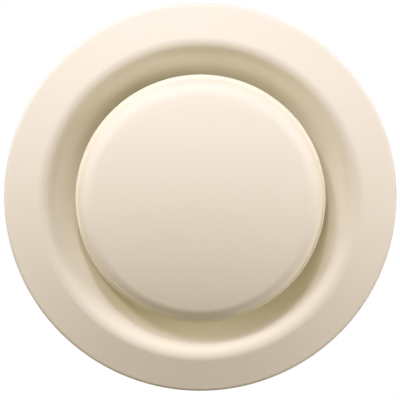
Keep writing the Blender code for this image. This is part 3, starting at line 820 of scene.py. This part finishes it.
def make_hub_cup():
    """The pressed cup behind the disc, with the dents of the spot welds round its flange."""
    top = front("hub_cup")
    floor = rear("hub_cup") + CUP_SHEET
    corners = [
        (BORE_RADIUS, floor, 0.0),
        (CUP_BOWL_RADIUS - CUP_LEAN, floor, CUP_FLOOR_FILLET),
        (CUP_BOWL_RADIUS, top, CUP_MOUTH_FILLET),
        (reach("hub_cup"), top, 0.0),
    ]
    meshes = [turned(rounded(corners), CUP_SHEET, segments=SMALL_SEGMENTS)]
    weld_circle = (CUP_BOWL_RADIUS + CUP_MOUTH_FILLET + reach("hub_cup")) / 2
    face = top - CUP_SHEET
    weld = rounded([
        (0.0, face + SPOT_WELD_RIM / 2, 0.0),
        (SPOT_WELD_RADIUS * SPOT_WELD_FLOOR, face + SPOT_WELD_RIM / 2, SPOT_WELD_RIM),
        (SPOT_WELD_RADIUS * SPOT_WELD_RING, face - SPOT_WELD_RIM, SPOT_WELD_RIM / 2),
        (SPOT_WELD_RADIUS, face + SPOT_WELD_RIM, 0.0),
    ])
    for index in range(SPOT_WELDS):
        angle = math.tau * index / SPOT_WELDS
        placing = Matrix.Translation(
            (weld_circle * math.cos(angle), weld_circle * math.sin(angle), 0.0)
        )
        meshes.append(turned(weld, closed=False, segments=TINY_SEGMENTS, placing=placing))
    add_piece("welded_cup", "hub_cup", "disc", "zinc_plate", *meshes)


def make_spindle():
    """The rolled-thread rod, with its pan head in the cup and a groove for the stop clip."""
    top = front("spindle")
    head_under = top - SPINDLE_HEAD_HEIGHT
    end = rear("spindle")
    groove_top = front("stop_clip") + GAP
    groove_end = rear("stop_clip") - GAP
    root = SPINDLE_RADIUS - THREAD_DEPTH
    corners = [
        (0.0, top, 0.0),
        (SPINDLE_HEAD_RADIUS, top, SPINDLE_HEAD_FILLET),
        (SPINDLE_HEAD_RADIUS, head_under, 0.0),
        (root, head_under, 0.0),
        (root, groove_top, 0.0),
        (GROOVE_RADIUS, groove_top, 0.0),
        (GROOVE_RADIUS, groove_end, 0.0),
        (root, groove_end, 0.0),
        (root, end, BUSH_EDGE),
        (0.0, end, 0.0),
    ]
    core = turned(rounded(corners), closed=False, segments=THREAD_SEGMENTS)
    long_thread = thread(head_under, groove_top)
    tail_thread = thread(groove_end, end)
    add_piece("threaded_spindle", "spindle", "disc", "zinc_plate", core, long_thread, tail_thread)


def make_washer(node, body):
    """A stamped washer with one rounded and one sharper edge."""
    rim = reach(node)
    corners = [
        (WASHER_BORE_RADIUS, front(node), BROKEN_EDGE),
        (rim, front(node), WASHER_EDGE),
        (rim, rear(node), BROKEN_EDGE),
        (WASHER_BORE_RADIUS, rear(node), BROKEN_EDGE),
    ]
    ring = turned(rounded(corners), segments=SMALL_SEGMENTS)
    add_piece(f"stamped_{node}", node, body, "zinc_plate", ring)


def stop_clip_outline():
    """Outline of the E-shaped clip: a ring open on one side, with lugs into the groove."""
    lug_radius = GROOVE_RADIUS + GAP
    angles = range(CLIP_MOUTH_ANGLE, FULL_TURN - CLIP_MOUTH_ANGLE + 1, CLIP_STEP_ANGLE)
    outer = [(CLIP_RADIUS, angle) for angle in angles]
    inner = []
    for angle in reversed(angles):
        near_mouth = min(angle, FULL_TURN - angle) <= CLIP_MOUTH_ANGLE + CLIP_LUG_ANGLE
        near_back = abs(angle - FULL_TURN / 2) <= CLIP_LUG_ANGLE / 2
        inner.append((lug_radius if near_mouth or near_back else CLIP_POCKET_RADIUS, angle))
    return [
        (radius * math.cos(math.radians(angle)), radius * math.sin(math.radians(angle)))
        for radius, angle in outer + inner
    ]


def make_stop_clip():
    """The stamped clip at the spindle's rear end, so that the disc can't be screwed right out."""
    outline = stop_clip_outline()
    curve = bpy.data.curves.new("stop_clip", "CURVE")
    curve.dimensions = "2D"
    curve.fill_mode = "BOTH"
    curve.extrude = CLIP_THICKNESS / 2 - CLIP_EDGE
    curve.bevel_depth = CLIP_EDGE
    curve.offset = -CLIP_EDGE
    spline = curve.splines.new("POLY")
    spline.points.add(len(outline) - 1)
    for point, (x, y) in zip(spline.points, outline):
        point.co = (x, y, 0.0, 1.0)
    spline.use_cyclic_u = True
    middle = (front("stop_clip") + rear("stop_clip")) / 2
    part = bpy.data.objects.new("stop_clip", curve)
    clip = modelled(part, Matrix.Translation((0.0, 0.0, middle)))
    add_piece("stamped_stop_clip", "stop_clip", "stop_clip", "spring_steel", clip)


def add_camera():
    """The camera at the photo's viewing angle, far enough off for its flat perspective."""
    towards = Vector((
        -math.sin(CAMERA_LEFT),
        -math.cos(CAMERA_ABOVE) * math.cos(CAMERA_LEFT),
        math.sin(CAMERA_ABOVE),
    )).normalized()
    camera = bpy.data.cameras.new("camera")
    camera.sensor_width = SENSOR_WIDTH
    camera.lens = SENSOR_WIDTH * CAMERA_DISTANCE / PICTURE_WIDTH
    item = bpy.data.objects.new("camera", camera)
    bpy.context.scene.collection.objects.link(item)
    right = (-towards).cross(Vector((0.0, 0.0, 1.0))).normalized()
    axes = Matrix((right, towards.cross(right), towards)).transposed().to_4x4()
    item.matrix_world = Matrix.Translation(CAMERA_TARGET + towards * CAMERA_DISTANCE) @ axes
    bpy.context.scene.camera = item


def add_light(name, place, back, size, power, colour):
    """A round soft light at a place. It shines away from its back, and the camera misses it."""
    light = bpy.data.lights.new(name, "AREA")
    light.shape = "DISK"
    light.size = size
    light.energy = power
    light.color = colour
    item = bpy.data.objects.new(name, light)
    item.location = place
    item.rotation_euler = back.to_track_quat("Z", "Y").to_euler()
    item.visible_camera = False
    bpy.context.scene.collection.objects.link(item)


def add_studio_light(name, elevation, azimuth, size, power, colour):
    """A soft light aimed at the valve. Its azimuth counts from the front to the right."""
    up = math.radians(elevation)
    aside = math.radians(azimuth)
    back = Vector((
        math.cos(up) * math.sin(aside),
        -math.cos(up) * math.cos(aside),
        math.sin(up),
    ))
    add_light(name, back * LIGHT_DISTANCE, back, size, power, colour)


def add_world():
    """A white backdrop for the camera, and a soft grey that only glossy surfaces mirror."""
    world = bpy.data.worlds.new("white_studio")
    world.use_nodes = True
    tree = world.node_tree
    white = (*WHITE, 1.0)
    path = add_node(tree, "ShaderNodeLightPath")
    dark = tree.nodes["Background"]
    dark.inputs["Strength"].default_value = 0.0
    grey = add_node(tree, "ShaderNodeBackground", {"Color": white, "Strength": MIRRORED_STRENGTH})
    bright = add_node(tree, "ShaderNodeBackground", {"Color": white, "Strength": 1.0})
    unseen = add_node(tree, "ShaderNodeMixShader", links={
        "Fac": path.outputs["Is Glossy Ray"],
        1: dark.outputs["Background"],
        2: grey.outputs["Background"],
    })
    whole = add_node(tree, "ShaderNodeMixShader", links={
        "Fac": path.outputs["Is Camera Ray"],
        1: unseen.outputs["Shader"],
        2: bright.outputs["Background"],
    })
    tree.links.new(whole.outputs["Shader"], tree.nodes["World Output"].inputs["Surface"])
    bpy.context.scene.world = world


def add_floor():
    """A plain pale floor, lit by a soft light that shines only downwards."""
    mesh = bpy.data.meshes.new("floor")
    half = FLOOR_SIZE / 2
    corners = [(-half, -half), (half, -half), (half, half), (-half, half)]
    mesh.from_pydata([(x, y, FLOOR_HEIGHT) for x, y in corners], [], [(0, 1, 2, 3)])
    mesh.materials.append(matt_floor_paint())
    floor = bpy.data.objects.new("floor", mesh)
    bpy.context.scene.collection.objects.link(floor)
    place = Vector((0.0, 0.0, FLOOR_LIGHT_HEIGHT))
    up = Vector((0.0, 0.0, 1.0))
    add_light("floor_light", place, up, FLOOR_LIGHT_SIZE, FLOOR_LIGHT_POWER, WHITE)


flange_radius = reach("valve_body")
crest_radius = flange_radius - FLANGE_WIDTH
foot_radius = crest_radius - STEP_WIDTH
throat_radius = foot_radius - FUNNEL_WIDTH
crest_height = FOOT_HEIGHT + STEP_RISE

finishes = {
    "cream_steel": powder_coated_steel(),
    "galvanised_sheet": hot_dip_galvanised_steel(),
    "zinc_plate": zinc_plated_steel(),
    "spring_steel": blued_spring_steel(),
    "foam": closed_cell_foam(),
    "rubber": moulded_rubber(),
}

make_valve_body()
make_disc()
make_foam_gasket()
make_mounting_collar()
make_duct_seal()
make_bridge()
make_bridge_bush()
make_spring_clips()
make_hub_cup()
make_spindle()
make_washer("hub_washer", "disc")
make_washer("lock_washer", "lock_washer")
add_piece("hub_hexagon_nut", "hub_nut", "disc", "zinc_plate", nut("hub_nut"))
add_piece("lock_hexagon_nut", "lock_nut", "lock_nut", "zinc_plate", nut("lock_nut"))
make_stop_clip()

add_camera()
for studio_light in STUDIO_LIGHTS:
    add_studio_light(*studio_light)
add_world()
add_floor()
bpy.context.scene.view_settings.view_transform = "Standard"
